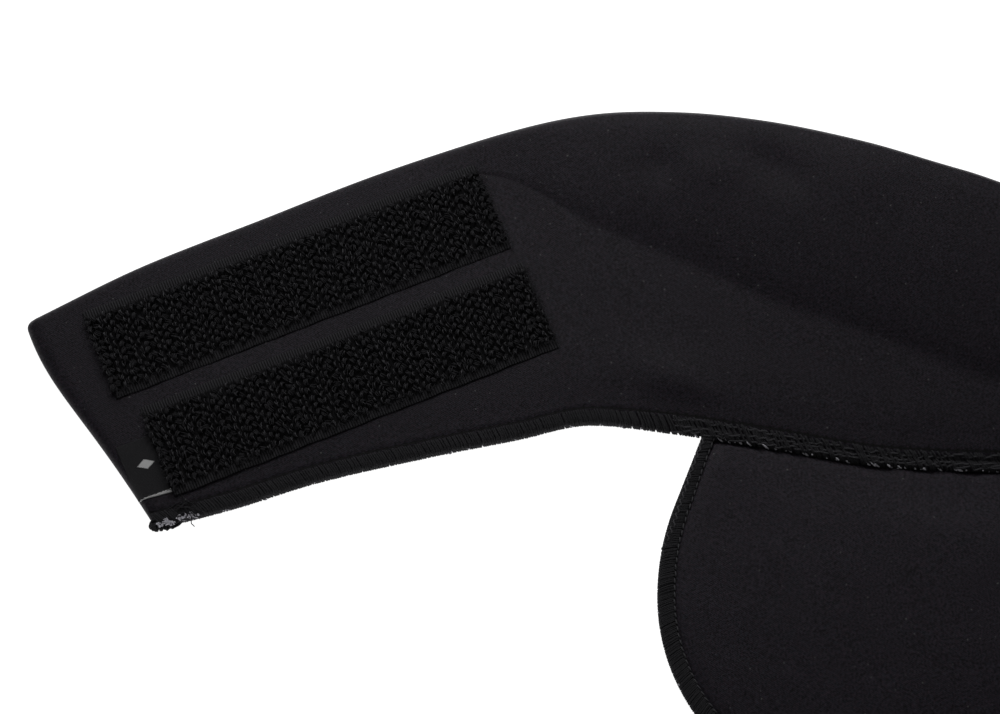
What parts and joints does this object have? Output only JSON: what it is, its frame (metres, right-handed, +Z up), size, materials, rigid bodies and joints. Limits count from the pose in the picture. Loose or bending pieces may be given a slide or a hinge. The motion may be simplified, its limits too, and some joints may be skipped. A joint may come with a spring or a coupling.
{
  "type": "padded sport neck guard",
  "caption": "Padded cloth neck guard lying open: a curved collar band, thicker at the throat, with loop strips on one tab and a flat rounded bib under its hem.",
  "frame": {"origin": "middle of the guard's outline on the surface it lies on", "axes": "+X along the collar towards the tab with the hook patch, +Y from the bib to the chin edge, +Z up off the surface, out of the inner face"},
  "size_m": [0.5332, 0.1828, 0.0138],
  "materials": {
    "collar_cloth": "matt black fine knit over foam",
    "bib_cloth": "matt black fine knit over thin foam",
    "loop_pile": "black woven tape with standing looped pile",
    "label_weave": "black woven label with a white line",
    "hook_plastic": "black nylon hook tape"
  },
  "bodies": {
    "root": {"collar": "collar_cloth", "bib": "bib_cloth", "loop_strip_upper": "loop_pile", "loop_strip_lower": "loop_pile", "size_label": "label_weave", "hook_patch": "hook_plastic"}
  },
  "joints": []
}
